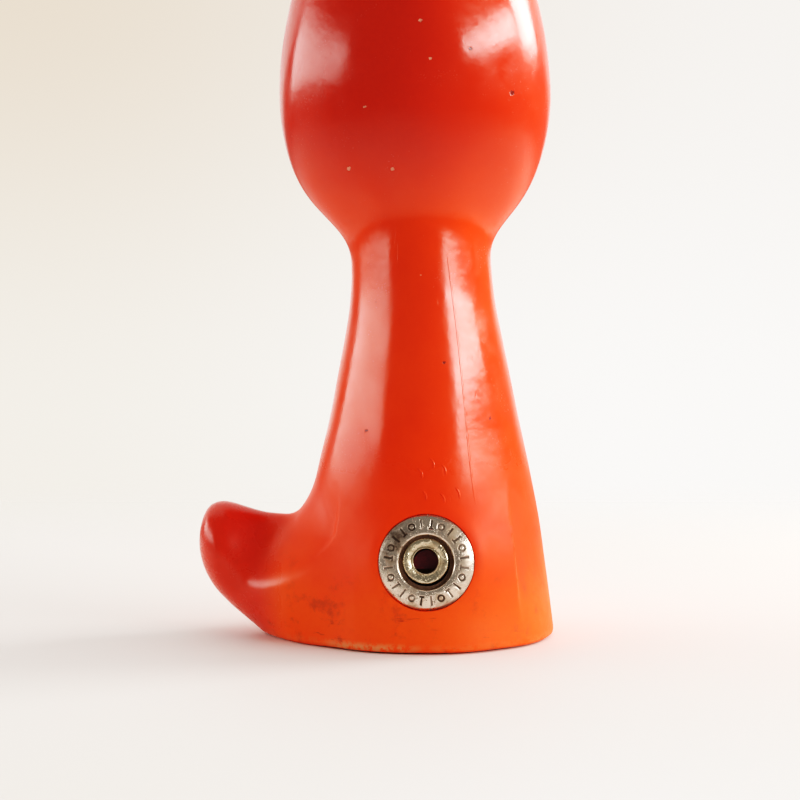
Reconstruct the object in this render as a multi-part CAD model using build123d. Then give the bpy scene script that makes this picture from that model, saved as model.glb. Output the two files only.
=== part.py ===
from build123d import *
import math
import os

# A squeeze toy: a hollow moulded rubber bird that stands on a flat base, with an upturned tail, a waisted
# neck, an egg-shaped head and a short beak. A plated metal whistle is pushed into a hole low in its flank.
# Millimetres, +Z up. The origin is the centre of the base, where it rests. The beak points along +X, the
# tail along -X, and the whistle's mouth faces -Y.

# ---- moulded body ----
WALL = 2.3              # rubber wall
FLOOR = 2.6             # thickness of the base
BASE_EDGE_R = 1.4       # rounding of the base's edge

# Level sections: height, centre in X, half width in X, half depth in Y. The body's neck ends inside the head,
# and the head's chin starts inside the neck.
BODY = [
    (0.0, 0.0, 28.3, 28.0),
    (8.0, 0.0, 28.0, 27.8),
    (18.0, 0.0, 26.4, 26.4),
    (30.0, 0.2, 24.3, 24.6),
    (44.0, 0.4, 21.1, 22.3),
    (60.0, 0.4, 17.9, 20.0),
    (72.0, 0.1, 15.7, 18.6),
    (81.0, -0.2, 15.0, 17.8),
    (94.0, -0.8, 15.6, 17.0),
]
HEAD = [
    (81.0, -0.8, 10.2, 12.6),
    (86.5, -1.0, 15.9, 17.6),
    (92.5, -1.2, 21.8, 21.8),
    (101.0, -1.5, 26.5, 25.6),
    (112.0, -1.6, 28.9, 27.6),
    (124.0, -1.6, 28.7, 27.4),
    (136.5, -1.6, 26.5, 25.4),
    (149.0, -1.6, 22.1, 21.2),
    (158.5, -1.6, 16.2, 15.7),
    (165.0, -1.6, 8.6, 8.6),
]
CREASE_R = 8.0          # rounding of the crease between neck and head
CROWN_Z = 167.6

# Upright sections of the tail, from inside the body to the tip: place in X, top, bottom, half width in Y.
TAIL = [
    (-14.0, 26.4, 3.4, 16.0),
    (-26.0, 26.0, 1.4, 13.8),
    (-32.0, 26.2, 1.9, 11.8),
    (-37.5, 27.5, 4.0, 10.4),
    (-42.0, 28.9, 7.0, 9.2),
    (-45.5, 28.4, 11.0, 7.4),
    (-47.6, 25.4, 15.6, 4.6),
]
TAIL_TIP = (-48.4, 20.4)

# Upright sections of the beak, from inside the head to the tip: place in X, middle, half height, half width.
BEAK = [
    (12.0, 148.2, 7.2, 7.4),
    (20.5, 148.6, 6.4, 6.6),
    (26.5, 149.2, 4.7, 4.8),
    (32.0, 149.9, 2.9, 2.9),
    (35.4, 150.4, 1.4, 1.4),
]
BEAK_TIP = (36.4, 150.5)

# ---- whistle: heights are along its own axis, 0 where its brim rests on the rubber, positive outwards ----
WHISTLE_AT = (0.7, -25.5, 19.0)
WHISTLE_TILT = 7.0      # degrees that its mouth looks up
PAD_R = 10.7            # flat moulded pad under the brim
PAD_SOLID_R = 9.2       # thickened ring of rubber round the hole
PAD_DEPTH = 4.0
BRIM_R = 10.0
BRIM_RISE = 1.45
SHEET = 0.45            # pressed steel
BARREL_R = 6.1
BARREL_IN_R = BARREL_R - SHEET
BARREL_END = -9.0
BEAD_R = 6.9
NOZZLE_R = 4.9
NOZZLE_BORE_R = 2.6
NOZZLE_FRONT = 0.9
NOZZLE_BACK = -5.6
NOZZLE_LIP_R = 1.0      # rounding of the nozzle's mouth
PACKING_FRONT = 0.2
PACKING_BACK = -4.8
CAP_FRONT = -6.4
CAP_BACK = -15.0
CAP_SHEET = 0.4
CAP_HOLES = 6
CAP_HOLE_R = 0.8
CAP_HOLES_AT_R = 3.1

# ---- reed, in the same whistle coordinates, with Y up ----
BLOCK_FRONT = -1.6
BLOCK_PLUG_BACK = -6.2
BLOCK_END = -13.2
BLOCK_NOSE_R = 2.35     # the half-round part that carries the reed
BLOCK_FACE_Y = -0.5     # flat face over which the reed beats
SLOT_TOP_Y = -0.2       # roof of the slot that holds the reed's root
INLET_TOP_Y = -1.4      # roof of the air gap at the bottom of the nozzle's mouth
SLOT_FRONT = -3.6
AIRWAY_W = 1.5
AIRWAY_TOP_Y = 0.9
REED_T = 0.15
REED_W = 2.3
REED_GAP = 0.075        # play of the reed's root where it is pinched
REED_PIVOT = -5.1
REED_ROOT = -4.2
REED_END = -12.4
REED_REST_TILT = 4.0    # degrees that the reed stands off the flat face at rest
WEDGE_FRONT = -4.0
WEDGE_BACK = -6.2
WEDGE_CREST_SLOPE = 11.0

whistle_plane = Plane(
    origin=WHISTLE_AT,
    x_dir=(1, 0, 0),
    z_dir=(0, -math.cos(math.radians(WHISTLE_TILT)), math.sin(math.radians(WHISTLE_TILT))),
)


def placed(shape):
    """Carries a shape from whistle coordinates to the toy's frame."""
    return whistle_plane.location * shape


def turned(*outline):
    """A solid turned about the whistle's axis from an outline of (radius, height) corners."""
    edges = Polyline(*[(radius, 0, height) for radius, height in outline], close=True)
    return revolve(make_face(edges), Axis.Z)


def rod(radius, low, high, x=0.0, y=0.0):
    """A round rod along the whistle's axis."""
    return Pos(x, y, (low + high) / 2) * Cylinder(radius, high - low)


def block(x_low, x_high, y_low, y_high, z_low, z_high):
    """A rectangular block between two corners."""
    middle = Pos((x_low + x_high) / 2, (y_low + y_high) / 2, (z_low + z_high) / 2)
    return middle * Box(x_high - x_low, y_high - y_low, z_high - z_low)


# ---- moulded body ----
def skin(sections, inset):
    """A smooth closed skin through level sections, drawn in by inset."""
    rings = []
    for height, middle, half_x, half_y in sections:
        level = max(height, FLOOR) if inset else height
        if sections is HEAD:
            level -= inset * (height / CROWN_Z) ** 8
        rings.append(Plane((middle, 0, level)) * Ellipse(half_x - inset, half_y - inset))
    return loft(rings)


def crown():
    """The shallow dome that closes the top of the head."""
    brim_z, middle, brim_r, _ = HEAD[-1]
    rise = CROWN_Z - brim_z
    sphere_r = (brim_r**2 + rise**2) / (2 * rise)
    dome = Pos(middle, 0, CROWN_Z - sphere_r) * Sphere(sphere_r)
    return dome & block(-brim_r * 2, brim_r * 2, -brim_r * 2, brim_r * 2, brim_z, CROWN_Z + 1)


def crease_edges(shape):
    """The edges where the neck enters the head."""
    low, high = HEAD[0][0], HEAD[2][0]
    return [e for e in shape.edges() if low < e.bounding_box().min.Z and e.bounding_box().max.Z < high]


def tail(inset):
    """The upturned tail, a skin through upright ellipses that closes at a blunt tip."""
    rings = []
    for place, top, bottom, half_y in TAIL:
        half_z = (top - bottom) / 2 - inset
        if half_z > 1 and half_y - inset > 1:
            at = Plane(origin=(place, 0, (top + bottom) / 2), x_dir=(0, 1, 0), z_dir=(-1, 0, 0))
            rings.append(at * Ellipse(half_y - inset, half_z))
    if inset:
        return loft(rings)
    return loft([*rings, Vertex(TAIL_TIP[0], 0, TAIL_TIP[1])])


def beak():
    """The short solid beak."""
    rings = []
    for place, middle, half_z, half_y in BEAK:
        at = Plane(origin=(place, 0, middle), x_dir=(0, 1, 0), z_dir=(1, 0, 0))
        rings.append(at * Ellipse(half_y, half_z))
    return loft([*rings, Vertex(BEAK_TIP[0], 0, BEAK_TIP[1])])


def toy_body():
    """The one-piece hollow moulding, with its whistle hole and the flat pad round it."""
    trunk = skin(BODY, 0)
    trunk = fillet(trunk.edges().sort_by(Axis.Z)[0], BASE_EDGE_R)
    outside = trunk + skin(HEAD, 0)
    outside = fillet(crease_edges(outside), CREASE_R)
    outside += crown()
    outside += tail(0)
    outside += beak()
    outside += placed(rod(PAD_R, -6.0, 0.0))
    outside -= placed(rod(PAD_R, 0.0, 6.0))
    hollow = skin(BODY, WALL) + skin(HEAD, WALL) + tail(WALL)
    hollow -= placed(rod(PAD_SOLID_R, -PAD_DEPTH, 6.0))
    return outside - hollow - placed(rod(BARREL_R, -PAD_DEPTH - 6.0, 6.0))


# ---- whistle ----
def whistle_cup():
    """The pressed cup: a domed brim, the barrel through the rubber, and the bead that locks behind it."""
    return turned(
        (BRIM_R, 0.0),
        (BRIM_R, 0.3),
        (BRIM_R - 0.3, 0.6),
        (BARREL_R + 0.3, BRIM_RISE),
        (BARREL_IN_R + 0.15, BRIM_RISE - 0.05),
        (BARREL_IN_R, BRIM_RISE - 0.35),
        (BARREL_IN_R, BARREL_END),
        (BARREL_R, BARREL_END),
        (BARREL_R, -PAD_DEPTH - 1.3),
        (BEAD_R, -PAD_DEPTH - 0.7),
        (BEAD_R, -PAD_DEPTH - 0.4),
        (BARREL_R, -PAD_DEPTH),
        (BARREL_R, BRIM_RISE - SHEET - 0.1),
        (BRIM_R - 0.6, 0.0),
    )


def packing_ring():
    """The fibre ring that packs the nozzle tight in the barrel."""
    return rod(BARREL_IN_R, PACKING_BACK, PACKING_FRONT) - rod(NOZZLE_R, PACKING_BACK, PACKING_FRONT)


def nozzle_ring():
    """The thick turned ring with the air hole that shows in the middle of the brim."""
    ring = rod(NOZZLE_R, NOZZLE_BACK, NOZZLE_FRONT) - rod(NOZZLE_BORE_R, NOZZLE_BACK, NOZZLE_FRONT)
    mouth = ring.edges().group_by(Axis.Z)[-1]
    return fillet(mouth, NOZZLE_LIP_R)


def reed_block():
    """The moulded block: a plug in the nozzle, cut away below for the air, and a half-round nose."""
    plug = rod(NOZZLE_BORE_R, BLOCK_PLUG_BACK, BLOCK_FRONT)
    plug -= block(-3, 3, -3, SLOT_TOP_Y, BLOCK_PLUG_BACK, SLOT_FRONT)
    plug -= block(-3, 3, -3, INLET_TOP_Y, SLOT_FRONT, BLOCK_FRONT)
    nose = rod(BLOCK_NOSE_R, BLOCK_END, BLOCK_PLUG_BACK)
    nose -= block(-3, 3, -3, BLOCK_FACE_Y, BLOCK_END, BLOCK_PLUG_BACK)
    airway = block(-AIRWAY_W / 2, AIRWAY_W / 2, -3, AIRWAY_TOP_Y, REED_END + 0.8, BLOCK_PLUG_BACK)
    feed = block(-AIRWAY_W / 2, AIRWAY_W / 2, -3, AIRWAY_TOP_Y, BLOCK_PLUG_BACK, SLOT_FRONT)
    return plug + nose - airway - feed


def reed_tongue():
    """The thin bronze reed, standing off the flat face at rest."""
    end, root = REED_END - REED_PIVOT, REED_ROOT - REED_PIVOT
    strip = block(-REED_W / 2, REED_W / 2, -REED_T / 2, REED_T / 2, end, root)
    pivot_y = BLOCK_FACE_Y - REED_GAP - REED_T / 2
    return Pos(0, pivot_y, REED_PIVOT) * Rot(-REED_REST_TILT, 0, 0) * strip


def reed_wedge():
    """The small wedge that pinches the reed's root against the block, with a low crest under the pinch."""
    crest_y = BLOCK_FACE_Y - 2 * REED_GAP - REED_T
    wedge = rod(NOZZLE_BORE_R, WEDGE_BACK, WEDGE_FRONT)
    fall = math.tan(math.radians(WEDGE_CREST_SLOPE))
    roof = Polyline(
        (0, 3, WEDGE_FRONT),
        (0, crest_y - fall * (WEDGE_FRONT - REED_PIVOT), WEDGE_FRONT),
        (0, crest_y, REED_PIVOT),
        (0, crest_y - fall * (REED_PIVOT - WEDGE_BACK), WEDGE_BACK),
        (0, 3, WEDGE_BACK),
        close=True,
    )
    return wedge - extrude(make_face(roof), 3, both=True)


def back_cap():
    """The pressed cap over the reed, inside the toy, with a ring of air holes in its end."""
    cap = rod(BARREL_IN_R, CAP_BACK, CAP_FRONT)
    cap -= rod(BARREL_IN_R - CAP_SHEET, CAP_BACK + CAP_SHEET, CAP_FRONT)
    for i in range(CAP_HOLES):
        turn = 2 * math.pi * i / CAP_HOLES
        x, y = CAP_HOLES_AT_R * math.cos(turn), CAP_HOLES_AT_R * math.sin(turn)
        cap -= rod(CAP_HOLE_R, CAP_BACK - 1, CAP_BACK + 1, x, y)
    return cap


os.makedirs("parts", exist_ok=True)
export_step(toy_body(), "parts/toy_body.step")
for make in (whistle_cup, packing_ring, nozzle_ring, reed_block, reed_tongue, reed_wedge, back_cap):
    export_step(placed(make()), f"parts/{make.__name__}.step")
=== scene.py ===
"""The looks of the rubber squeeze-toy bird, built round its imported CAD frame. Sizes are in millimetres."""

import math

import bpy
import numpy as np
from mathutils import Matrix, Vector
from mathutils.bvhtree import BVHTree


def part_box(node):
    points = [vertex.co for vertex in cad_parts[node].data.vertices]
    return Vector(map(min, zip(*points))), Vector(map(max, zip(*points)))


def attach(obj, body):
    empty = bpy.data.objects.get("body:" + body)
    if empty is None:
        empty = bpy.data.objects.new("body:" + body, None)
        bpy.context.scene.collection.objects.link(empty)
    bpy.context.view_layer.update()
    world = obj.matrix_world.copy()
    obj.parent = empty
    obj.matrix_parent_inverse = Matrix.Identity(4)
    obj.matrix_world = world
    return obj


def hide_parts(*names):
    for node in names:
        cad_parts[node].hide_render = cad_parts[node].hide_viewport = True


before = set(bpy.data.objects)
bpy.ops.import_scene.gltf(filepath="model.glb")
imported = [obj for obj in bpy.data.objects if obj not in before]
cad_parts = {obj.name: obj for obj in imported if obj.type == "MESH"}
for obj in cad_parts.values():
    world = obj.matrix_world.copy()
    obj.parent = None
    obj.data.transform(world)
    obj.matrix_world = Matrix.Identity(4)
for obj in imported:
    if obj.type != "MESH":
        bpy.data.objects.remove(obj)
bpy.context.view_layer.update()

MM = 0.001
RNG = np.random.default_rng(7)

# ---- camera and stage ----
LENS = 115.0
CAMERA_AT = (-4.75, -552.0, 94.4)
CAMERA_DOWN = 4.51           # degrees that the camera looks down
FRONT_LEVEL = 0.205          # brightness of the room behind the camera
BACK_LEVEL = 0.95            # brightness of the backdrop, as the toy sees it
TABLE_LEVEL = 0.6            # brightness of the far part of the table, as the toy sees it
FLOOR_AT_Y = 190.0
FLOOR_R = (230.0, 500.0)     # the floor is whole within the first radius and gone at the second
FLOOR_BACK = (-70.0, 120.0)  # the same towards the back, in Y from its middle
TONE_CURVE = ((0.034, 0.016), (0.09, 0.080), (0.13, 0.142), (0.305, 0.43), (0.578, 0.73))

# ---- moulded body ----
CELL = 0.68                  # size of the outer skin's faces
INNER_CELL = 1.6
COARSE = 4                   # fine cells in one coarse cell of the first search for the skin
WALL = 2.3
BASE_ROUND = 1.9             # how softly the sides turn under at the base
WAVES, WAVE_DEPTH = 10, 0.05

CREASE_NEAR = (74, 106)      # between these levels the CAD surface is averaged, to soften its crease
CREASE_SPREAD = (-2.4, 0.0, 2.4)
CREASE_LIFT = 5.5            # how much higher the neck's crease is in front and behind than at the sides
LIFT_GROWS, LIFT_FADES = (74, 90), (122, 92)
NECK_LEAN = 0.12             # how much narrower the neck gets from front to back, towards its crease
LEAN_GROWS, LEAN_FADES = (56, 100), (130, 88)

SHOULDER_AT = np.array((-21.0, 0.0, 12.0))  # the swelling of the body where the tail leaves it
SHOULDER_SIZE = np.array((13.5, 14.0, 12.5))
SHOULDER_BLEND = 11.0
TAIL_ROOT_X, TAIL_INNER_X, TAIL_TIP_Z = -30.0, -12.0, 20.4
TAIL_BLEND = (9.0, 1.4)      # how softly the tail meets the body, below the fold between them and above it
TAIL_NARROWS = 1.1           # how much narrower the tail is above the fold
TAIL_NARROWS_X = (-45, -30)  # it gets so between these places, towards the body
FOLD_AT_X, FOLD_RISE = -32.0, 0.6  # the fold rises towards the body
FOLD_HARDENS, FOLD_NARROWS = (11, 25), (11, 29)
BEAK_ROOT_X, BEAK_INNER_X, BEAK_TIP_Z = 28.0, 10.0, 150.5
BEAK_BLEND = 4.5

PAD_R, PAD_HEIGHT, PAD_SLOPE, PAD_BLEND = 11.0, 0.25, 40.0, 2.5
PAD_EDGE_BLEND, PAD_ROOT = 1.2, -6.0
HOLE_WALL_R, HOLE_WALL_END, HOLE_WALL_BLEND = 9.2, -4.0, 1.0  # the thicker rubber round the whistle's hole
HOLE_DEEP, HOLE_OUT = -8.5, 5.0  # heights between which the rubber is cut for the whistle
HOLE_SEGMENTS, AXIS_R = 180, 0.01  # the cutter is open within AXIS_R, which leaves a loose thread of rubber
RECESS_R = 10.12
EYE_AT = (9.5, 148.5)        # place in X and height, on both sides of the head
EYE_R, EYE_RISE, EYE_FLATNESS, EYE_BLEND = 3.9, 0.7, 2.6, 0.8
EYE_STEEP = 1.6              # about how much faster than a distance the flattened eye's field grows
PUPIL_R, EYE_RING_R, PAINT_EDGE = 1.8, 3.3, 0.15
MOUTH_Z, MOUTH_X = 149.4, (25.5, 26.5)  # the mouth's line begins between the two places in X
BEAK_PAINT_X, BEAK_PAINT_Z = (23.9, 24.3), (138, 139)  # and so does the beak's paint, in X and in height

# ---- the rubber's colours ----
RED, DEEP_RED = (0.95, 0.074, 0.0085), (0.84, 0.052, 0.008)
# the darker red is painted shade, laid on the head and the tail
SHADE_RED, ORANGE = (0.64, 0.032, 0.012), (0.95, 0.118, 0.010)

# ---- small scars on the front: place in X, height, and radius ----
PALE_SPECKS = (
    (-0.6, 130.6, 0.42), (1.5, 122.8, 0.42), (-12.0, 113.2, 0.34), (-15.4, 100.6, 0.46), (-6.3, 100.5, 0.38))
DARK_SPECKS = (
    (18.5, 116.2, 0.6), (9.7, 125.0, 0.38), (4.5, 60.2, 0.38), (14.3, 48.2, 0.34), (-11.8, 45.8, 0.34))

# ---- moulding seam and marks ----
SEAM_AZIMUTH = 18.7          # degrees from the camera's side towards +X, where the neck meets the head
SEAM_AZIMUTH_Z = 86          # the height at which the seam has that azimuth
SEAM_LEAN = 0.13             # degrees that the seam moves round with each millimetre down
SEAM_FRONT, SEAM_BACK = (30.0, 84.0), (3.0, 163.0)  # heights between which it shows
SEAM_HALF_W, SEAM_RISES, SEAM_STEP = 0.28, (0.022, 0.06), 0.6
MARK_HALF_W, MARK_RISE = 0.3, 0.13
TICKS_AT = ((-1.4, 18.4), (1.0, 20.6), (3.6, 19.2), (-0.6, 13.9), (3.2, 13.2), (6.6, 14.4))
BARS_X, BARS_ROW = (-8.6, -4.7, -0.8), -12.3

# ---- whistle: radii and heights are in its own coordinates, as in the CAD ----
SEGMENTS = 720
EDGE_POINTS, FACE_POINTS = 8, 56  # in the outline of the brim's rolled edge and of its face
BRIM_R, BRIM_CREST_R, BRIM_CREST = 10.0, 6.4, 1.42
BRIM_EDGE_R, BRIM_FACE_FROM, BRIM_FACE_IN = 0.25, 0.47, 0.16
CUP_IN_R, BARREL_R, CUP_END = 5.65, 6.1, -9.0
BEAD_AT, BEAD_R = -4.6, 0.75  # the bead that locks behind the rubber
STAMPS = 24                  # stamped marks round the brim
STAMP_AT_R, STAMP_DEPTH = 7.95, 0.17
NOZZLE_R, NOZZLE_BORE_R, NOZZLE_END = 4.78, 2.6, -5.6
NOZZLE_SEGMENTS, PITS = 400, 90
NOZZLE_OFF = (-0.12, 0.32)


# ---- small mathematics ----
def spline(knots, values):
    """A natural cubic spline, straight beyond its ends, and its slope."""
    knots, values = np.asarray(knots, float), np.asarray(values, float)
    n, h = len(knots), np.diff(knots)
    left = np.eye(n)
    right = np.zeros(n)
    for i in range(1, n - 1):
        left[i, i - 1 : i + 2] = h[i - 1], 2 * (h[i - 1] + h[i]), h[i]
        right[i] = 6 * ((values[i + 1] - values[i]) / h[i] - (values[i] - values[i - 1]) / h[i - 1])
    bend = np.linalg.solve(left, right)

    def parts(t):
        i = np.clip(np.searchsorted(knots, t) - 1, 0, n - 2)
        return i, t - knots[i], (values[i + 1] - values[i]) / h[i] - h[i] * (2 * bend[i] + bend[i + 1]) / 6

    def value(t):
        t = np.asarray(t, float)
        inside = np.clip(t, knots[0], knots[-1])
        i, s, first = parts(inside)
        curve = values[i] + first * s + bend[i] / 2 * s**2 + (bend[i + 1] - bend[i]) / (6 * h[i]) * s**3
        return curve + slope(inside) * (t - inside)

    def slope(t):
        i, s, first = parts(np.clip(np.asarray(t, float), knots[0], knots[-1]))
        return first + bend[i] * s + (bend[i + 1] - bend[i]) / (2 * h[i]) * s**2

    return value, slope


def smooth(value, start, end):
    """0 before start, 1 after end, and a smooth change between them."""
    share = np.clip((value - start) / (end - start), 0, 1)
    return share * share * (3 - 2 * share)


def soft_min(a, b, blend):
    """The smaller of two fields, with their meeting rounded."""
    near = np.maximum(blend - np.abs(a - b), 0) / blend
    return np.minimum(a, b) - near**2 * blend / 4


def soft_max(a, b, blend):
    """The larger of two fields, with their meeting rounded."""
    return -soft_min(-a, -b, blend)


def tree_of(obj):
    """The object's mesh as a tree for ray casts."""
    mesh = obj.data
    return BVHTree.FromPolygons([v.co for v in mesh.vertices], [tuple(p.vertices) for p in mesh.polygons])


# ---- the whistle's own coordinates ----
def whistle_frame():
    """The whistle's axis, side and up directions, and the point where the brim's back meets the rubber."""
    front = sum((Vector(c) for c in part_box("packing_ring")), Vector()) / 2
    back = sum((Vector(c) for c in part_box("back_cap")), Vector()) / 2
    axis = (front - back).normalized()
    places = [v.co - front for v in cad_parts["whistle_cup"].data.vertices]
    heights = [p.dot(axis) for p in places]
    radii = [(p - axis * h).length for p, h in zip(places, heights, strict=True)]
    seat = min(h for h, r in zip(heights, radii, strict=True) if r > max(radii) - 1e-5)
    side = Vector((1, 0, 0))
    return np.array(axis), np.array(side), np.array(axis.cross(side)), np.array(front + axis * seat) / MM


AXIS, SIDE, UP, SEAT = whistle_frame()


def from_whistle(x, y, height):
    """Points given in whistle coordinates, in the toy's frame."""
    return SEAT + np.multiply.outer(x, SIDE) + np.multiply.outer(y, UP) + np.multiply.outer(height, AXIS)


def whistle_place(points):
    """Height along the whistle's axis and distance from it."""
    away = points - SEAT
    height = away @ AXIS
    return height, np.linalg.norm(away - np.outer(height, AXIS), axis=1)


# ---- mesh helpers ----
def new_mesh(name, points, faces):
    """A smooth-shaded mesh from points in millimetres."""
    mesh = bpy.data.meshes.new(name)
    mesh.from_pydata((np.asarray(points) * MM).tolist(), [], np.asarray(faces).tolist())
    mesh.update()
    mesh.polygons.foreach_set("use_smooth", [True] * len(mesh.polygons))
    obj = bpy.data.objects.new(name, mesh)
    bpy.context.scene.collection.objects.link(obj)
    return obj


def grid_faces(rows, columns, wrap_rows=False, wrap_columns=False):
    """Quads over a grid of points, numbered row by row."""
    i = np.arange(rows if wrap_rows else rows - 1)[:, None]
    j = np.arange(columns if wrap_columns else columns - 1)[None, :]
    k, m = (i + 1) % rows, (j + 1) % columns
    corners = (i * columns + j, i * columns + m, k * columns + m, k * columns + j)
    return np.stack([np.broadcast_to(c, (len(i), j.shape[1])).ravel() for c in corners], 1)


def turned(name, outline, segments, shaped=None, offset=(0.0, 0.0)):
    """A closed solid turned about the whistle's axis. shaped gives each point's change in height."""
    radius, height = np.asarray(outline, float).T
    angle = 2 * math.pi * np.arange(segments) / segments
    r = np.repeat(radius[:, None], segments, 1)
    h = np.repeat(height[:, None], segments, 1)
    a = np.repeat(angle[None, :], len(radius), 0)
    if shaped:
        h = h + shaped(r, h, a)
    points = from_whistle(offset[0] + r * np.cos(a), offset[1] + r * np.sin(a), h).reshape(-1, 3)
    return new_mesh(name, points, grid_faces(len(radius), segments, True, True))


def arc(centre, radius, start, end, count):
    """Points of an arc in the outline's plane, with angles in degrees."""
    turns = np.radians(np.linspace(start, end, count))
    return [(centre[0] + radius * math.cos(t), centre[1] + radius * math.sin(t)) for t in turns]


def crossings(field):
    """For each cell, the places in it where its edges cross the field's zero, added up, and their number."""
    shape = np.array(field.shape) - 1
    total = np.zeros((*shape, 3))
    count = np.zeros(shape)
    for axis in range(3):
        across = [a for a in range(3) if a != axis]
        for u in (0, 1):
            for v in (0, 1):
                start = [slice(0, n) for n in shape]
                start[across[0]] = slice(u, shape[across[0]] + u)
                start[across[1]] = slice(v, shape[across[1]] + v)
                end = list(start)
                end[axis] = slice(1, shape[axis] + 1)
                a, b = field[tuple(start)], field[tuple(end)]
                crosses = (a < 0) != (b < 0)
                total[..., axis] += np.where(crosses, a / np.where(crosses, a - b, 1), 0)
                total[..., across[0]] += u * crosses
                total[..., across[1]] += v * crosses
                count += crosses
    return total, count


def surface_net(field, axes):
    """A quad mesh of the surface where a sampled field is zero, with a point in each cell that it crosses."""
    inside = field < 0
    shape = np.array(field.shape) - 1
    total, count = crossings(field)
    active = count > 0
    number = np.full(shape, -1)
    number[active] = np.arange(active.sum())
    cells = np.argwhere(active)
    within = total[active] / count[active][:, None]
    steps = [a[1] - a[0] for a in axes]
    places = np.stack([axes[k][cells[:, k]] + within[:, k] * steps[k] for k in range(3)], 1)
    quads = []
    for axis in range(3):
        across = [(axis + 1) % 3, (axis + 2) % 3]
        lower = [slice(1, n) for n in shape]
        lower[axis] = slice(0, shape[axis])
        upper = list(lower)
        upper[axis] = slice(1, shape[axis] + 1)
        a, b = inside[tuple(lower)], inside[tuple(upper)]
        for edges, flip in ((a & ~b, False), (~a & b, True)):
            at = np.argwhere(edges)
            at[:, across[0]] += 1
            at[:, across[1]] += 1
            ring = []
            for u, v in ((-1, -1), (0, -1), (0, 0), (-1, 0)):
                cell_at = at.copy()
                cell_at[:, across[0]] += u
                cell_at[:, across[1]] += v
                ring.append(number[tuple(cell_at.T)])
            quads.append(np.stack(ring[::-1] if flip else ring, 1))
    return places, np.concatenate(quads)


def slope_of(field, points, step=0.05):
    """The field's gradient at points."""
    ways = np.eye(3) * step
    return np.stack([(field(points + way) - field(points - way)) / (2 * step) for way in ways], 1)


def settled(points, field, rounds=2):
    """Points moved onto the field's zero surface."""
    for _ in range(rounds):
        slope = slope_of(field, points)
        points = points - (field(points) / np.maximum((slope**2).sum(1), 0.05))[:, None] * slope
    return points


def evened(points, quads, rounds=3):
    """Points drawn towards the middle of their neighbours, which evens out the faces."""
    a = quads.ravel()
    b = np.roll(quads, -1, 1).ravel()
    size = len(points)
    number = np.bincount(a, minlength=size) + np.bincount(b, minlength=size)
    for _ in range(rounds):
        total = np.zeros_like(points)
        for k in range(3):
            total[:, k] = np.bincount(a, points[b, k], size) + np.bincount(b, points[a, k], size)
        points = points * 0.4 + total / number[:, None] * 0.6
    return points


def skin_of(field, low, high, cell):
    """The even quad mesh of a field's zero surface within a box, searched coarsely first."""
    low = low - 2.5 * cell
    counts = np.ceil((high + 2.5 * cell - low) / (cell * COARSE)).astype(int)
    axes = [low[k] + cell * np.arange(counts[k] * COARSE) for k in range(3)]
    middles = [low[k] + cell * (COARSE * np.arange(counts[k]) + (COARSE - 1) / 2) for k in range(3)]
    coarse = field(np.stack(np.meshgrid(*middles, indexing="ij"), -1).reshape(-1, 3)).reshape(counts)
    samples = coarse
    for k in range(3):
        samples = np.repeat(samples, COARSE, k)
    near = np.argwhere(np.abs(samples) < cell * COARSE * 1.8)
    samples[tuple(near.T)] = field(np.stack([axes[k][near[:, k]] for k in range(3)], 1))
    points, quads = surface_net(samples, axes)
    return settled(evened(points, quads), field), quads


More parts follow.
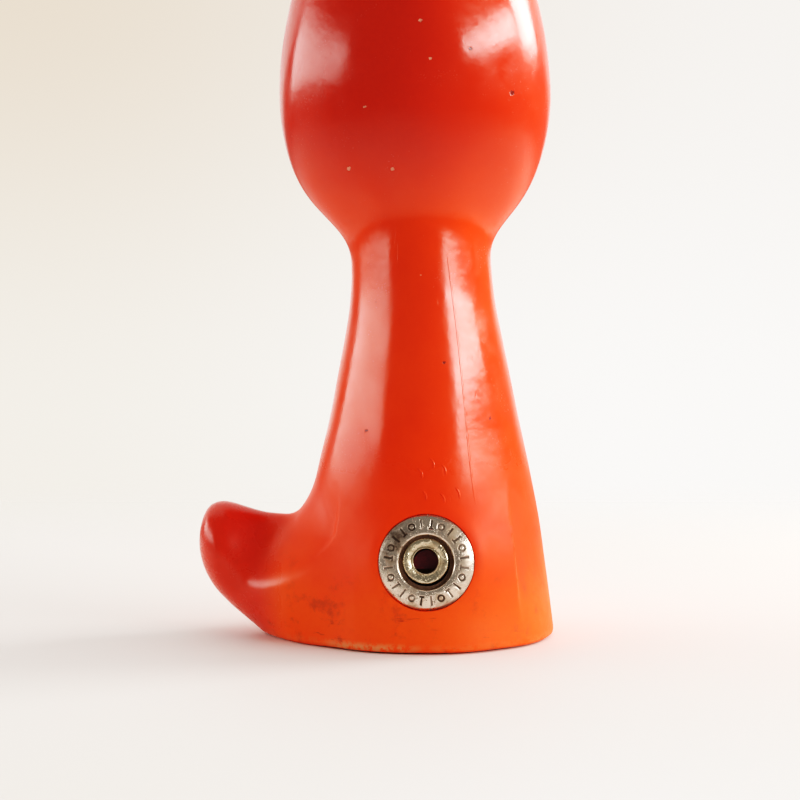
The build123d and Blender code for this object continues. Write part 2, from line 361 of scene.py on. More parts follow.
# ---- the body's shape, measured on the CAD node ----
class Moulding:
    """The body's outer surface as a smooth field in millimetres, negative inside."""

    def __init__(self):
        self.tree = tree_of(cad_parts["toy_body"])
        self.low, self.high = (np.array(c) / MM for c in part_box("toy_body"))
        self.measure_trunk()
        self.tail = self.measure_arm(self.low[0], TAIL_ROOT_X, -1.0, 60.0, TAIL_TIP_Z, 7)
        self.beak = self.measure_arm(self.high[0], BEAK_ROOT_X, 100.0, 200.0, BEAK_TIP_Z, 5)
        self.waves = [
            (RNG.normal(size=3) * 0.2, RNG.uniform(0, 2 * math.pi), WAVE_DEPTH * RNG.uniform(0.5, 1.0))
            for _ in range(WAVES)
        ]

    def hit(self, start, direction):
        """Where a ray from outside meets the CAD surface."""
        found = self.tree.ray_cast(Vector(start) * MM, Vector(direction))[0]
        return np.array(found) / MM

    def softened(self, levels, shifts, start, direction, axis):
        """Where the surface lies along a direction at each level, averaged over the spread at the neck."""
        places = []
        for level, shift in zip(levels, shifts, strict=True):
            spread = CREASE_SPREAD if CREASE_NEAR[0] < level < CREASE_NEAR[1] else (0,)
            hits = [self.hit((start[0] + shift, start[1], level + up), direction)[axis] for up in spread]
            places.append(sum(hits) / len(hits))
        return np.array(places)

    def measure_trunk(self):
        """The body's centre, half width and half depth at each level, clear of tail, beak and base edge."""
        far, above_tail, below_beak = 200.0, 37.0, 134.0
        levels = np.concatenate([
            [3.0, 9.0, 17.0, 26.0], np.arange(38.0, 70.0, 7.0), [73.0, 79.5, 86.0, 93.0, 100.0],
            np.arange(107.0, 160.0, 7.0), [163.0],
        ])
        straight = [0.0] * len(levels)
        right = self.softened(levels, straight, (far, 0), (-1, 0, 0), 0)
        left = self.softened(levels, straight, (-far, 0), (1, 0, 0), 0)
        clear = (levels > above_tail) & (levels < below_beak)
        centre = np.interp(levels, levels[clear], ((right + left) / 2)[clear])
        half_x = np.where(levels < below_beak, right - centre, centre - left)
        half_y = self.softened(levels, centre, (0, far), (0, -1, 0), 1)
        self.centre, _ = spline(levels, centre)
        self.width_sq, self.width_sq_slope = spline(
            np.append(levels, self.high[2]), np.append(half_x, 0) ** 2)
        self.ratio, _ = spline(levels, half_x / half_y)

    def measure_arm(self, tip, root, under, over, tip_z, stations):
        """The tail or beak from its tip to its root: its middle's height, its half height squared with the
        slope of that, and its half height over its half width. under and over are heights clear of it."""
        far = 200.0
        inward = math.copysign(1, root - tip)
        places = tip + (root - tip) * (0.04 + 0.96 * (np.arange(1, stations + 1) / stations) ** 1.6)
        bottom = np.array([self.hit((x, 0, under), (0, 0, 1))[2] for x in places])
        top = np.array([self.hit((x, 0, over), (0, 0, -1))[2] for x in places])
        middle = (top + bottom) / 2
        half_z = (top - bottom) / 2
        sides = [self.hit((x, far, m), (0, -1, 0))[1] for x, m in zip(places, middle, strict=True)]
        order = slice(None, None, int(inward))
        along = np.append(tip, places)[order]
        return (
            spline(along, np.append(tip_z, middle)[order])[0],
            *spline(along, np.append(0, half_z**2)[order]),
            spline(places[order], (half_z / np.array(sides))[order])[0],
        )

    def trunk_field(self, x, y, z):
        """Body, neck and head."""
        ahead = np.abs(y) / np.hypot(x - self.centre(z), y)
        lift = smooth(ahead, 0.0, 0.85) * smooth(z, *LIFT_GROWS) * smooth(z, *LIFT_FADES)
        z = z - CREASE_LIFT * lift
        lean = smooth(z, *LEAN_GROWS) * smooth(z, *LEAN_FADES)
        cx, k = self.centre(z), self.ratio(z) * (1 + NECK_LEAN * lean)
        field = (x - cx) ** 2 + (y * k) ** 2 - self.width_sq(z)
        steep = np.sqrt(4 * (x - cx) ** 2 + 4 * (y * k * k) ** 2 + self.width_sq_slope(z) ** 2 + 1)
        return field / steep

    def arm_field(self, arm, x, y, z):
        """The tail or the beak."""
        middle, size_sq, size_slope, ratio = arm
        k = np.clip(ratio(x), 0.7, 2.5)
        up = z - middle(x)
        steep = np.sqrt(4 * up**2 + 4 * (y * k * k) ** 2 + size_slope(x) ** 2 + 1)
        return (up**2 + (y * k) ** 2 - size_sq(x)) / steep

    def shoulder_field(self, points):
        """The swelling of the body where the tail leaves it."""
        away = (points - SHOULDER_AT) / SHOULDER_SIZE
        far = np.linalg.norm(away, axis=1)
        return far * (far - 1) / np.maximum(np.linalg.norm(away / SHOULDER_SIZE, axis=1), 1e-6)

    def with_tail(self, field, x, y, z):
        """A field with the tail joined to it: softly below the fold, sharply above it."""
        above_fold = z - FOLD_RISE * (x - FOLD_AT_X)
        blend = TAIL_BLEND[0] + (TAIL_BLEND[1] - TAIL_BLEND[0]) * smooth(above_fold, *FOLD_HARDENS)
        narrow = 1 + TAIL_NARROWS * smooth(above_fold, *FOLD_NARROWS) * smooth(x, *TAIL_NARROWS_X)
        tail = np.maximum(self.arm_field(self.tail, x, y * narrow, z), x - TAIL_INNER_X)
        return soft_min(field, tail, blend)

    def eye_field(self, x, y, z):
        """The two low domes of the eyes, set just under the head's surface."""
        across = self.width_sq(EYE_AT[1]) - (EYE_AT[0] - self.centre(EYE_AT[1])) ** 2
        depth = math.sqrt(across) / self.ratio(EYE_AT[1]) - EYE_R / EYE_FLATNESS + EYE_RISE
        out = (np.abs(y) - depth) * EYE_FLATNESS
        eye = np.sqrt((x - EYE_AT[0]) ** 2 + out**2 + (z - EYE_AT[1]) ** 2) - EYE_R
        return eye / EYE_STEEP

    def pad_field(self, points):
        """The low flat pad round the whistle."""
        height, radius = whistle_place(points)
        slope = math.radians(PAD_SLOPE)
        flank = (radius - PAD_R) * math.sin(slope) + (height - PAD_HEIGHT) * math.cos(slope)
        return np.maximum(soft_max(flank, height - PAD_HEIGHT, PAD_EDGE_BLEND), PAD_ROOT - height)

    def outside(self, points):
        """The outer surface."""
        x, y, z = points.T
        field = soft_max(self.trunk_field(x, y, z), -z, BASE_ROUND)
        field = soft_min(field, self.shoulder_field(points), SHOULDER_BLEND)
        field = self.with_tail(field, x, y, z)
        beak = np.maximum(self.arm_field(self.beak, x, y, z), BEAK_INNER_X - x)
        field = soft_min(field, beak, BEAK_BLEND)
        field = soft_min(field, self.eye_field(x, y, z), EYE_BLEND)
        field = soft_min(field, self.pad_field(points), PAD_BLEND)
        for direction, phase, depth in self.waves:
            field = field + depth * np.sin(points @ direction + phase)
        return soft_max(field, -z, BASE_ROUND / 2)

    def inside(self, points):
        """The air space, negative where there is air."""
        height, radius = whistle_place(points)
        ring = np.maximum(radius - HOLE_WALL_R, HOLE_WALL_END - height)
        return soft_max(self.outside(points) + WALL, -ring, HOLE_WALL_BLEND)


MOULDING = Moulding()


def whistle_hole():
    """What is cut out of the rubber for the whistle: the hole and the recess for the brim."""
    outline = [
        (AXIS_R, HOLE_DEEP), (BARREL_R, HOLE_DEEP), (BARREL_R, 0.0),
        (RECESS_R, 0.0), (RECESS_R, HOLE_OUT), (AXIS_R, HOLE_OUT),
    ]
    return turned("cutter", outline, HOLE_SEGMENTS)


def moulded_body():
    """The hollow rubber moulding, with the hole and the recess for the whistle cut out."""
    low, high = MOULDING.low, MOULDING.high
    outer, outer_faces = skin_of(MOULDING.outside, low, high, CELL * (1))
    inner, inner_faces = skin_of(MOULDING.inside, low, high, INNER_CELL)
    points = np.concatenate([outer, inner])
    faces = np.concatenate([outer_faces, inner_faces[:, ::-1] + len(outer)])
    body = new_mesh("moulded_body", points, faces)
    cutter = whistle_hole()
    cut = body.modifiers.new("whistle_hole", "BOOLEAN")
    cut.object = cutter
    cut.solver = "EXACT"
    done = bpy.data.meshes.new_from_object(body.evaluated_get(bpy.context.evaluated_depsgraph_get()))
    body.modifiers.clear()
    body.data = done
    bpy.data.objects.remove(cutter)
    done.set_sharp_from_angle(angle=math.radians(50))
    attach(body, "toy")
    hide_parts("toy_body")
    return body


# ---- raised lines on the rubber ----
def ribbon(path, half_width, rise):
    """Points and faces of a low raised line along a path on the body's surface."""
    path = settled(np.asarray(path, float), MOULDING.outside, 4)
    normal = slope_of(MOULDING.outside, path)
    normal /= np.linalg.norm(normal, axis=1)[:, None]
    across = np.cross(normal, np.gradient(path, axis=0))
    across /= np.linalg.norm(across, axis=1)[:, None]
    from_end = np.minimum(np.arange(len(path)), np.arange(len(path))[::-1]) * 1.0
    share = smooth(from_end, -0.5, 3)
    section = [(-1, -0.5), (-0.6, 0.35), (-0.25, 0.9), (0.25, 0.9), (0.6, 0.35), (1, -0.5)]
    lines = []
    for side, up in section:
        lift = up * rise - (1 - share) * rise
        lines.append(path + across * (side * half_width * share)[:, None] + normal * lift[:, None])
    return np.stack(lines, 1).reshape(-1, 3), grid_faces(len(path), len(section), False, True)


def raised_lines(name, paths, half_width, rises):
    """One piece made of all the low lines along the given paths."""
    points, faces, start = [], [], 0
    for path, rise in zip(paths, rises, strict=True):
        more, quads = ribbon(path, half_width, rise)
        points.append(more)
        faces.append(quads + start)
        start += len(more)
    piece = new_mesh(name, np.concatenate(points), np.concatenate(faces))
    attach(piece, "toy")
    return piece


def seam():
    """The faint line of the mould's joint: all the way up the far side, on the neck and skirt in front."""
    paths = []
    for azimuth, (low, high) in ((SEAM_AZIMUTH, SEAM_FRONT), (SEAM_AZIMUTH + 180, SEAM_BACK)):
        heights = np.arange(low, high, SEAM_STEP)
        turn = np.radians(azimuth + SEAM_LEAN * (SEAM_AZIMUTH_Z - heights))
        reach = np.sqrt(np.maximum(MOULDING.width_sq(heights), 1))
        x = MOULDING.centre(heights) + reach * np.sin(turn)
        paths.append(np.stack([x, -reach * np.cos(turn), heights], 1))
    return raised_lines("mould_seam", paths, SEAM_HALF_W, SEAM_RISES)


def bent(start, middle, end, count=14):
    """A smooth bend in whistle coordinates from start to end, drawn towards the middle."""
    t = np.linspace(0, 1, count)[:, None]
    xy = (1 - t) ** 2 * np.array(start) + 2 * t * (1 - t) * np.array(middle) + t**2 * np.array(end)
    return from_whistle(xy[:, 0], xy[:, 1], np.zeros(count))


def mould_marks():
    """Low raised tool marks over and under the whistle: bent ticks and small bars that say nothing."""
    paths = [bent((x - 0.5, row + 1.2), (x + 0.9, row + 0.5), (x + 0.5, row - 1.2)) for x, row in TICKS_AT]
    for x in BARS_X:
        paths.append(bent((x - 0.5, BARS_ROW), (x, BARS_ROW + 0.6), (x + 0.5, BARS_ROW)))
    rises = [MARK_RISE] * len(TICKS_AT) + [MARK_RISE / 2] * len(BARS_X)
    return raised_lines("mould_marks", paths, MARK_HALF_W, rises)


# ---- whistle ----
def stamp(r, a):
    """How deep the brim is stamped at each point, from 0 to 1: bars, rings and footed bars by turns."""
    pitch = 2 * math.pi / STAMPS
    number = np.floor(a / pitch).astype(int)
    u = (a - (number + 0.5) * pitch) * STAMP_AT_R
    v = r - STAMP_AT_R
    bar = np.maximum(np.abs(u) - 0.22, np.abs(v) - 1.0)
    foot = np.maximum(np.abs(u) - 0.62, np.abs(v + 0.8) - 0.2)
    ring = np.abs(np.hypot(u, v) - 0.62) - 0.2
    worn = RNG.uniform(0.75, 1.0, STAMPS)[number]
    kind = number % 3
    mark = np.select([kind == 0, kind == 1], [bar, ring], np.minimum(bar, foot))
    return smooth(-mark, -0.06, 0.06) * worn


def cup_outline():
    """The cup's section: rolled edge, domed face, crest, the barrel's inside, its outside and its bead."""
    crown = np.linspace(0, 1, FACE_POINTS)
    rim_r = BRIM_R - BRIM_FACE_IN
    top_r = rim_r - (rim_r - BRIM_CREST_R) * crown
    top_h = BRIM_FACE_FROM + (BRIM_CREST - BRIM_FACE_FROM) * np.sin(crown * math.pi / 2) ** 0.9
    outline = arc((BRIM_R - BRIM_EDGE_R, BRIM_EDGE_R), BRIM_EDGE_R, -90, 50, EDGE_POINTS)
    outline += list(zip(top_r, top_h, strict=True))
    outline += arc((BRIM_CREST_R - 0.15, BRIM_CREST - 0.55), 0.55, 85, 175, 9)[1:]
    outline += [(CUP_IN_R, h) for h in (0.4, -0.6, -2.5, -5.0, -7.0, CUP_END)]
    outline += [(BARREL_R, h) for h in (CUP_END, -6.5, -5.3)]
    outline += arc((BARREL_R, BEAD_AT), BEAD_R, -70, 50, 7)
    outline += [(BARREL_R, h) for h in (-3.9, -1.5, 0.6)]
    return outline + [(BARREL_R + 0.3, 0.85), (BRIM_R - 0.7, 0.02)]


def whistle_cup():
    """The pressed cup: a domed brim with stamped marks, the barrel, and the bead behind the rubber."""
    outline = cup_outline()
    depth = np.zeros((len(outline), SEGMENTS))

    def shaped(r, h, a):
        top = np.zeros_like(h)
        top[EDGE_POINTS : EDGE_POINTS + FACE_POINTS] = 1
        depth[:] = top * stamp(r, a)
        dents = 0.012 * np.sin(3 * a + 1.0) * (r - 5)
        dents = dents + 0.008 * np.sin(7 * a + r) + 0.006 * np.sin(11 * a - 2 * r)
        return top * dents * smooth(r, 6.2, 7.5) - STAMP_DEPTH * depth

    piece = turned("whistle_disc", outline, SEGMENTS, shaped)
    mark = piece.data.attributes.new("stamped", "FLOAT", "POINT")
    mark.data.foreach_set("value", depth.ravel())
    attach(piece, "toy")
    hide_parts("whistle_cup")
    return piece


def nozzle_outline():
    """The ring's section: its bore, the lip round the hole, the domed face and the outside."""
    outline = [(NOZZLE_BORE_R, h) for h in (NOZZLE_END, -3.0, -1.0, 0.2)]
    outline += arc((NOZZLE_BORE_R + 0.16, 0.5), 0.16, 180, 20, 8)
    outline += [(2.98, 0.46)]
    t = np.linspace(0, 1, 16)
    outline += list(zip(3.05 + 1.05 * t, 0.44 + 0.42 * np.sin(t * math.pi / 2), strict=True))
    outline += arc((NOZZLE_R - 0.5, 0.36), 0.5, 88, 0, 12)[1:]
    return outline + [(NOZZLE_R, h) for h in (0.0, -1.0, -3.0, NOZZLE_END)]


def nozzle_ring():
    """The thick turned ring with the air hole: worn, pitted, with a thin raised lip at the hole."""
    pits = [
        (RNG.uniform(0, 2 * math.pi), RNG.uniform(3.1, 4.5), RNG.uniform(0.05, 0.16)) for _ in range(PITS)
    ]

    def shaped(r, h, a):
        front = smooth(h, 0.1, 0.35) * smooth(r, 2.9, 3.1)
        sink = np.zeros_like(r)
        for turn, at, size in pits:
            away = np.hypot((np.angle(np.exp(1j * (a - turn)))) * at, r - at)
            sink += 0.5 * size * np.exp(-((away / size) ** 2))
        wave = 0.02 * np.sin(5 * a + 3 * r) + 0.015 * np.sin(13 * a - 5 * r)
        return front * (wave - np.minimum(sink, 0.1))

    piece = turned("nozzle", nozzle_outline(), NOZZLE_SEGMENTS, shaped, NOZZLE_OFF)
    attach(piece, "toy")
    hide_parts("nozzle_ring")
    return piece


# ---- materials ----
class Nodes:
    """A node tree under construction. Values are numbers, colours as triples, or sockets."""

    def __init__(self, tree):
        self.tree = tree

    def new(self, kind):
        """A new node."""
        return self.tree.nodes.new(kind)

    def put(self, socket, value):
        """Sets a socket from a number, a colour or another socket."""
        if isinstance(value, bpy.types.NodeSocket):
            self.tree.links.new(value, socket)
        elif isinstance(value, tuple) and socket.type == "RGBA":
            socket.default_value = (*value, 1)
        else:
            socket.default_value = value

    def math(self, operation, a, b=0.0):
        """One sum on one or two values."""
        node = self.new("ShaderNodeMath")
        node.operation = operation
        self.put(node.inputs[0], a)
        self.put(node.inputs[1], b)
        return node.outputs[0]

    def times(self, *values):
        """All the values multiplied together."""
        result = values[0]
        for value in values[1:]:
            result = self.math("MULTIPLY", result, value)
        return result

    def level(self, value, start, end, low=0.0, high=1.0):
        """A smooth change from low to high as the value goes from start to end."""
        node = self.new("ShaderNodeMapRange")
        node.interpolation_type = "SMOOTHSTEP"
        self.put(node.inputs["Value"], value)
        for name, number in (("From Min", start), ("From Max", end), ("To Min", low), ("To Max", high)):
            node.inputs[name].default_value = number
        return node.outputs["Result"]

    def mix(self, share, a, b):
        """A colour between two colours."""
        node = self.new("ShaderNodeMix")
        node.data_type = "RGBA"
        self.put(node.inputs[0], share)
        self.put(node.inputs[6], a)
        self.put(node.inputs[7], b)
        return node.outputs[2]

    def apart(self, vector):
        """A vector's three parts."""
        node = self.new("ShaderNodeSeparateXYZ")
        self.put(node.inputs[0], vector)
        return node.outputs[0], node.outputs[1], node.outputs[2]


class Look(Nodes):
    """A material under construction, with places in millimetres."""

    def __init__(self, name):
        self.material = bpy.data.materials.new(name)
        self.material.use_nodes = True
        super().__init__(self.material.node_tree)
        self.shader = self.tree.nodes["Principled BSDF"]
        scaled = self.new("ShaderNodeVectorMath")
        scaled.operation = "SCALE"
        self.put(scaled.inputs[0], self.new("ShaderNodeTexCoord").outputs["Object"])
        self.put(scaled.inputs["Scale"], 1 / MM)
        self.place = scaled.outputs[0]

    def set(self, **values):
        """Sets the shader's own sockets."""
        for name, value in values.items():
            self.put(self.shader.inputs[name.replace("_", " ")], value)

    def moved(self, scale=(1.0, 1.0, 1.0), turn=(0.0, 0.0, 0.0), shift=(0.0, 0.0, 0.0)):
        """The place, scaled, turned and shifted."""
        node = self.new("ShaderNodeMapping")
        self.put(node.inputs["Vector"], self.place)
        node.inputs["Location"].default_value = shift
        node.inputs["Rotation"].default_value = turn
        node.inputs["Scale"].default_value = scale
        return node.outputs[0]

    def noise(self, scale, detail=3.0, rough=0.55, at=None, twist=0.0):
        """Noise from 0 to 1, with scale in waves per millimetre."""
        node = self.new("ShaderNodeTexNoise")
        self.put(node.inputs["Vector"], at or self.place)
        settings = {"Scale": scale, "Detail": detail, "Roughness": rough, "Distortion": twist}
        for name, value in settings.items():
            node.inputs[name].default_value = value
        return node.outputs["Fac"]

    def cells(self, scale, at=None):
        """Distance from the nearest of many scattered points, and two random numbers for each."""
        node = self.new("ShaderNodeTexVoronoi")
        self.put(node.inputs["Vector"], at or self.place)
        node.inputs["Scale"].default_value = scale
        split = self.new("ShaderNodeSeparateColor")
        self.put(split.inputs[0], node.outputs["Color"])
        return node.outputs["Distance"], split.outputs[0], split.outputs[1]

    def distance(self, point, vector=None):
        """Distance from a point, in millimetres."""
        node = self.new("ShaderNodeVectorMath")
        node.operation = "DISTANCE"
        self.put(node.inputs[0], vector or self.place)
        node.inputs[1].default_value = point
        return node.outputs["Value"]

    def bump(self, height, depth, below=None):
        """A bump of the given depth in millimetres."""
        node = self.new("ShaderNodeBump")
        node.inputs["Distance"].default_value = depth * MM
        self.put(node.inputs["Height"], height)
        if below:
            self.put(node.inputs["Normal"], below)
        return node.outputs[0]


def tones_and_painted_shade(look, x, z):
    """The rubber's colour in soft blotches, more orange low down, with painted shade darkening the head and
    the tail.
    """
    colour = look.mix(look.level(look.noise(0.045, 3), 0.35, 0.75, 0, 0.7), RED, DEEP_RED)
    low_zone = look.math("ADD", z, look.times(look.noise(0.07, 4), 16.0))
    colour = look.mix(look.level(low_zone, 34, 14, 0, 0.85), colour, ORANGE)
    # painted shade: the head is darkened, fully on its left and middle and half as much towards the light on
    # its right
    head_shade = look.times(look.level(z, 90, 108, 0, 0.9), look.level(x, -4, 14, 1, 0.5))
    colour = look.mix(head_shade, colour, SHADE_RED)
    # painted shade: the tail, which turns away from the light, is darkened
    colour = look.mix(look.level(x, -29, -36, 0, 0.85), colour, SHADE_RED)
    return look.mix(look.level(look.noise(0.9, 4, 0.7), 0.3, 0.75, 0, 0.16), colour, DEEP_RED)


def darker_near_base(look, z, colour):
    """A colour made darker close to the base: dark blotches, and dark streaks that run round the toy."""
    blotches = look.times(look.level(look.noise(0.16, 6, 0.65), 0.54, 0.70), look.level(z, 24, 7), 0.5)
    colour = look.mix(blotches, colour, (0.24, 0.045, 0.018))
    streaks = look.noise(0.35, 5, 0.7, look.moved((0.25, 0.25, 1.6)))
    dark_streaks = look.times(look.level(streaks, 0.62, 0.72), look.level(z, 16, 8), 0.55)
    return look.mix(dark_streaks, colour, (0.16, 0.03, 0.012))


def scars(look, scattered, size, chosen, zone, placed):
    """Where the rubber is scarred: at some scattered points in a zone, and at placed specks in front."""
    far, lot, more = scattered
    wobble = look.times(look.noise(1.6, 2), 0.06)
    reach = look.math("SUBTRACT", look.math("ADD", far, wobble), look.times(more, 0.03))
    scar = look.times(look.level(reach, size, size - 0.02), look.level(lot, chosen, chosen + 0.02), zone)
    ragged = look.times(look.math("SUBTRACT", look.noise(2.2, 3), 0.5), 1.1)
    front = look.level(look.apart(look.place)[1], -5, -6)
    flat = look.moved((1, 0, 1))
    for place_x, place_z, radius in placed:
        near = look.math("ADD", look.distance((place_x, 0, place_z), flat), ragged)
        scar = look.math("MAXIMUM", scar, look.times(look.level(near, radius, radius * 0.6), front))
    return scar


def worn_edge(look, z):
    """Where the base's edge is rubbed pale, most of all at one place in front."""
    worn_side = look.level(look.distance((-12.0, -26.5, 0.5)), 13, 5)
    edge = look.times(look.level(z, 2.6, 1.2), look.level(look.noise(0.5, 5, 0.7), 0.40, 0.56))
    return look.times(edge, look.math("ADD", look.times(worn_side, 0.8), 0.18))


def with_paint(look, x, y, z, colour):
    """A colour with the chipped paint of the eyes and the beak over it."""
    kept = look.level(look.noise(0.9, 4, 0.65), 0.66, 0.69, 1, 0)
    rub = look.times(look.math("SUBTRACT", look.noise(0.7, 4), 0.5), 0.7)
    from_eye = look.math("ADD", look.distance((EYE_AT[0], 0, EYE_AT[1]), look.moved((1, 0, 1))), rub)
    flank = look.level(look.math("ABSOLUTE", y), 12, 13)
    for radius, paint in ((EYE_RING_R, (0.80, 0.74, 0.62)), (PUPIL_R, (0.012, 0.011, 0.012))):
        dot = look.times(look.level(from_eye, radius + PAINT_EDGE, radius), flank, kept)
        colour = look.mix(dot, colour, paint)
    beak_edge = look.math("ADD", x, look.times(look.noise(0.5, 4), 2.0))
    beak = look.times(look.level(beak_edge, *BEAK_PAINT_X), look.level(z, *BEAK_PAINT_Z), kept)
    return look.mix(beak, colour, (0.80, 0.40, 0.035))


def rubber_finish(look, x, z, rubbed):
    """Roughness and shine: smeared, rougher where it was rubbed, and duller low down except on the tail."""
    rough = look.level(look.noise(0.12, 5, 0.6, twist=0.6), 0.35, 0.75, 0.15, 0.27)
    low_down = look.times(look.level(z, 48, 24, 0, 0.27), look.level(x, -34, -22, 0.25, 1))
    spots = look.times(look.level(look.noise(2.4, 3), 0.55, 0.8), 0.08)
    for more in (low_down, look.times(rubbed, 0.35), spots):
        rough = look.math("ADD", rough, more)
    shine = look.math("MAXIMUM", look.level(z, 58, 30, 0.5, 0.24), look.level(x, -22, -34, 0, 0.5))
    return rough, shine


def rubber_relief(look, dents, mouth):
    """Fine relief: soft unevenness, grain, hair scratches two ways, scars and the mouth's groove."""
    relief = look.bump(look.noise(0.55, 3, 0.5), 0.035)
    relief = look.bump(look.noise(4.0, 3, 0.6), 0.006, relief)
    hair = look.noise(1.1, 2, 0.5, look.moved((1.0, 1.0, 0.05), (0.3, 0.5, 0)))
    hair_cross = look.noise(1.3, 2, 0.5, look.moved((0.06, 0.9, 1.2), (0.2, 0.1, 0.7)))
    scratched = look.math("ADD", look.level(hair, 0.70, 0.74), look.level(hair_cross, 0.71, 0.75))
    relief = look.bump(scratched, -0.012, relief)
    relief = look.bump(dents, -0.10, relief)
    return look.bump(mouth, -0.25, relief)


def rubber():
    """Glossy red-orange rubber, handled for years: blotches, chips, scratches, darkening near the base, a
    painted face, and painted shade on the head, the tail and the mouth's groove.
    """
    look = Look("red_rubber")
    x, y, z = look.apart(look.place)
    chips = scars(look, look.cells(0.115), 0.065, 0.72, look.level(z, 46, 52), PALE_SPECKS)
    nicks = scars(look, look.cells(0.16, look.moved(shift=(40, 17, 5))), 0.06, 0.84, 1.0, DARK_SPECKS)
    dust = look.level(look.noise(3.2, 2, 0.5, look.moved(shift=(9, 3, 31))), 0.745, 0.80, 0, 0.35)
    worn = worn_edge(look, z)
    mouth_line = look.level(look.math("ABSOLUTE", look.math("SUBTRACT", z, MOUTH_Z)), 0.32, 0.12)
    mouth = look.times(mouth_line, look.level(x, *MOUTH_X))

    colour = darker_near_base(look, z, tones_and_painted_shade(look, x, z))
    colour = look.mix(look.times(chips, 0.75), colour, (0.95, 0.42, 0.28))
    colour = look.mix(look.times(nicks, 0.8), colour, (0.10, 0.012, 0.008))
    colour = look.mix(dust, colour, (0.9, 0.35, 0.22))
    colour = look.mix(worn, colour, (0.80, 0.30, 0.14))
    colour = with_paint(look, x, y, z, colour)
    # painted shade: the mouth's groove is darkened in colour, besides its bump
    colour = look.mix(look.times(mouth, 0.85), colour, (0.09, 0.02, 0.01))

    rough, shine = rubber_finish(look, x, z, look.math("MAXIMUM", chips, worn))
    relief = rubber_relief(look, look.math("ADD", chips, nicks), mouth)
    look.set(Base_Color=colour, Roughness=rough, Normal=relief, Specular_IOR_Level=shine)
    return look.material


def aged_metal(name, bright, dull, dark, spot_scale, stamped=False):
    """Worn metal: polished where it was rubbed, dull and brown where it wasn't. On the stamped brim the marks
    are darkened, and a patchy darkening on its upper left is painted dark reflection.
    """
    look = Look(name)
    patches = look.noise(0.28, 5, 0.62, look.moved(shift=(3, 8, 1)), 0.5)
    colour = look.mix(look.level(patches, 0.42, 0.66), bright, dull)
    specks = look.level(look.noise(spot_scale, 4, 0.7), 0.56, 0.70)
    colour = look.mix(look.times(specks, 0.75), colour, dark)
    dirt_and_dark_reflection = specks
    if stamped:
        attribute = look.new("ShaderNodeAttribute")
        attribute.attribute_name = "stamped"
        struck = attribute.outputs["Fac"]
        colour = look.mix(look.times(struck, 0.92), colour, tuple(c * 0.7 for c in dark))
        # painted dark reflection: a patchy brown darkening on the brim's upper left, duller and less
        # metallic, where it faces dim surroundings
        dark_reflection_side = look.level(look.distance(tuple(from_whistle(-6.5, 4.5, 0.8))), 6.5, 1.5)
        painted_dark_reflection = look.times(dark_reflection_side, look.level(look.noise(0.5, 6, 0.7), 0.36, 0.62), 0.85)
        colour = look.mix(painted_dark_reflection, colour, dark)
        dirt_and_dark_reflection = look.math("MAXIMUM", look.math("MAXIMUM", specks, struck), painted_dark_reflection)
    roughness = look.math("ADD", look.level(patches, 0.35, 0.7, 0.16, 0.5), look.times(dirt_and_dark_reflection, 0.25))
    relief = look.bump(look.noise(2.2, 4, 0.65), 0.02)
    relief = look.bump(specks, -0.03, relief)
    scratches = look.noise(2.5, 2, 0.5, look.moved((1.0, 1.0, 0.08), (0.0, 0.9, 0.2)))
    relief = look.bump(look.level(scratches, 0.62, 0.70), -0.012, relief)
    metal = look.level(dirt_and_dark_reflection, 0.2, 1.0, 1.0, 0.55)
    look.set(Base_Color=colour, Metallic=metal, Roughness=roughness, Normal=relief)
    return look.material


def plain_piece(name, first, second, scale, rough, depth, stretch=(1.0, 1.0, 1.0), metallic=0.0):
    """A material with grain: two colours mixed by stretched noise, over a matching bump."""
    look = Look(name)
    grain = look.noise(scale, 5, 0.65, look.moved(stretch), 0.3)
    colour = look.mix(look.level(grain, 0.3, 0.7), first, second)
    shade = tuple(c * 0.4 for c in second)
    colour = look.mix(look.level(look.noise(0.4, 4), 0.5, 0.8, 0, 0.5), colour, shade)
    roughness = look.level(look.noise(0.8, 4), 0.3, 0.7, rough - 0.08, rough + 0.12)
    look.set(Base_Color=colour, Roughness=roughness, Normal=look.bump(grain, depth))
    look.shader.inputs["Metallic"].default_value = metallic
    return look.material


def finish_cad_nodes():
    """Materials for the small whistle pieces that stay as the CAD made them."""
    looks = {
        "packing_ring": plain_piece(
            "brown_fibre", (0.20, 0.115, 0.070), (0.10, 0.052, 0.030), 3.0, 0.75, 0.05),
        "reed_block": plain_piece(
            "dark_red_plastic", (0.13, 0.010, 0.018), (0.08, 0.006, 0.012), 0.8, 0.38, 0.015),
        "reed_tongue": plain_piece(
            "reed_bronze", (0.72, 0.45, 0.22), (0.52, 0.30, 0.13), 2.0, 0.3, 0.006, (6, 0.4, 0.4), 1.0),
        "reed_wedge": plain_piece(
            "wedge_wood", (0.50, 0.31, 0.15), (0.33, 0.18, 0.08), 1.6, 0.7, 0.04, (4, 0.5, 4)),
        "back_cap": plain_piece(
            "cap_steel", (0.52, 0.49, 0.44), (0.34, 0.30, 0.25), 1.5, 0.42, 0.02, metallic=1.0),
    }
    for node, material in looks.items():
        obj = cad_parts[node]
        if not obj.material_slots:
            obj.data.materials.append(material)
        for slot in obj.material_slots:
            slot.material = material


# ---- camera, lights and backdrop ----
def camera():
    """The camera of the photograph, in front of the toy and looking slightly down."""
    data = bpy.data.cameras.new("camera")
    data.lens = LENS
    data.sensor_width = 36.0
    data.clip_start, data.clip_end = 0.01, 50.0
    obj = bpy.data.objects.new("camera", data)
    obj.location = Vector(CAMERA_AT) * MM
    obj.rotation_euler = (math.radians(90 - CAMERA_DOWN), 0, 0)
    bpy.context.scene.collection.objects.link(obj)
    bpy.context.scene.camera = obj


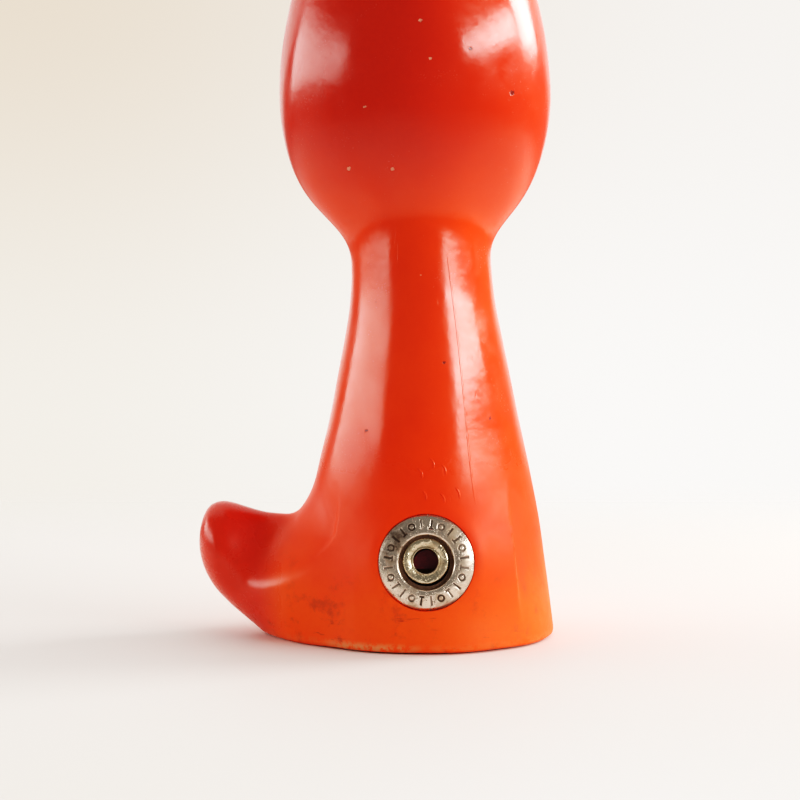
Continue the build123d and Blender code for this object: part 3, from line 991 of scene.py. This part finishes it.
def panel(name, azimuth, distance, across, heights, radiance, colour, soft, lean=0.0):
    """An upright rectangular light that faces the toy and fades at its edges. Azimuth 0 is the camera's
    side, positive to its right. soft is the share of its width and height over which it fades; lean turns
    it in its own plane."""
    a = math.radians(azimuth)
    towards = Vector((math.sin(a), -math.cos(a), 0))
    along = Vector((math.cos(a), math.sin(a), 0))
    data = bpy.data.lights.new(name, "AREA")
    data.shape = "RECTANGLE"
    data.size = (across[1] - across[0]) * MM
    data.size_y = (heights[1] - heights[0]) * MM
    data.energy = radiance * math.pi * data.size * data.size_y
    data.color = colour
    data.use_nodes = True
    nodes = Nodes(data.node_tree)
    share_x, share_y, _ = nodes.apart(nodes.new("ShaderNodeNewGeometry").outputs["Parametric"])
    strength = 1.0
    for share, fade in zip((share_x, share_y), soft, strict=True):
        from_middle = nodes.math("ABSOLUTE", nodes.math("SUBTRACT", share, 0.5))
        from_edge = nodes.math("SUBTRACT", 0.5, from_middle)
        strength = nodes.times(nodes.level(from_edge, 0.0, fade), strength)
    nodes.put(nodes.tree.nodes["Emission"].inputs["Strength"], strength)
    obj = bpy.data.objects.new(name, data)
    obj.location = (towards * distance + along * sum(across) / 2 + Vector((0, 0, sum(heights) / 2))) * MM
    facing = towards.to_track_quat("Z", "Y").to_matrix() @ Matrix.Rotation(math.radians(lean), 3, "Z")
    obj.rotation_euler = facing.to_euler()
    obj.visible_camera = False
    bpy.context.scene.collection.objects.link(obj)


def lights():
    """A long window and a smaller one on the right, and a sunlit wall on the left."""
    day, warm = (1.0, 0.985, 0.96), (1.0, 0.965, 0.94)
    panel("window_front", 65, 3000, (-1336, 1875), (617, 1227), 13.0, day, (0.05, 0.08), 5.7)
    panel("window_side", 112, 560, (-150, 150), (188, 480), 13.0, day, (0.12, 0.12))
    panel("pale_wall_left", -100, 1200, (-585, 1080), (20, 560), 3.9, warm, (0.085, 0.34))


def studio():
    """World light: bright behind the toy, dim in front of it. The camera sees a plain warm backdrop."""
    world = bpy.data.worlds.new("studio")
    bpy.context.scene.world = world
    world.use_nodes = True
    nodes = Nodes(world.node_tree)
    nodes.tree.nodes.clear()
    x, y, z = nodes.apart(nodes.new("ShaderNodeTexCoord").outputs["Generated"])

    seen = nodes.new("ShaderNodeBackground")
    high = nodes.mix(nodes.level(x, -0.16, 0.16), (0.69, 0.585, 0.465), (0.85, 0.81, 0.765))
    low = nodes.mix(nodes.level(x, -0.16, 0.1), (0.81, 0.76, 0.68), (0.92, 0.90, 0.875))
    nodes.put(seen.inputs["Color"], nodes.mix(nodes.level(z, -0.09, 0.09), low, high))

    light = nodes.new("ShaderNodeBackground")
    nodes.put(light.inputs["Color"], (1.0, 0.97, 0.93))
    back_and_up = nodes.math("ADD", nodes.times(z, 1.1), y)
    around = nodes.level(back_and_up, 0.80, 0.95, FRONT_LEVEL, BACK_LEVEL)
    table = nodes.level(y, -0.2, 0.35, FRONT_LEVEL, TABLE_LEVEL)
    nodes.put(light.inputs["Strength"], nodes.mix(nodes.level(z, -0.30, -0.12), table, around))

    choose = nodes.new("ShaderNodeMixShader")
    nodes.put(choose.inputs[0], nodes.new("ShaderNodeLightPath").outputs["Is Camera Ray"])
    nodes.put(choose.inputs[1], light.outputs[0])
    nodes.put(choose.inputs[2], seen.outputs[0])
    nodes.put(nodes.new("ShaderNodeOutputWorld").inputs[0], choose.outputs[0])


def floor():
    """A plain pale floor that fades into the backdrop away from the toy."""
    bpy.ops.mesh.primitive_circle_add(vertices=96, radius=FLOOR_R[1] * MM, fill_type="NGON")
    obj = bpy.context.object
    obj.name = "floor"
    obj.location.y = FLOOR_AT_Y * MM
    look = Look("floor")
    look.set(Base_Color=(0.80, 0.772, 0.742), Roughness=0.6, Specular_IOR_Level=0.2)
    far_out = look.level(look.distance((0.0, 0.0, 0.0)), *FLOOR_R)
    far_back = look.level(look.apart(look.place)[1], *FLOOR_BACK)
    fade = look.new("ShaderNodeMixShader")
    look.put(fade.inputs[0], look.math("MAXIMUM", far_out, far_back))
    look.put(fade.inputs[1], look.shader.outputs[0])
    look.put(fade.inputs[2], look.new("ShaderNodeBsdfTransparent").outputs[0])
    look.put(look.tree.nodes["Material Output"].inputs["Surface"], fade.outputs[0])
    obj.data.materials.append(look.material)


def grade():
    """A plain display transform with a gentle contrast curve."""
    view = bpy.context.scene.view_settings
    view.view_transform = "Standard"
    view.use_curve_mapping = True
    curve = view.curve_mapping.curves[3]
    for place, level in TONE_CURVE:
        curve.points.new(place, level)
    view.curve_mapping.update()


camera()
lights()
studio()
floor()
grade()

red = rubber()
for piece in (moulded_body(), seam(), mould_marks()):
    piece.data.materials.append(red)
disc_look = aged_metal(
    "plated_steel", (0.76, 0.65, 0.54), (0.50, 0.39, 0.29), (0.075, 0.045, 0.030), 1.5, stamped=True)
whistle_cup().data.materials.append(disc_look)
nozzle_look = aged_metal("brass_turning", (0.66, 0.57, 0.42), (0.45, 0.36, 0.24), (0.08, 0.055, 0.030), 2.0)
nozzle_ring().data.materials.append(nozzle_look)
finish_cad_nodes()
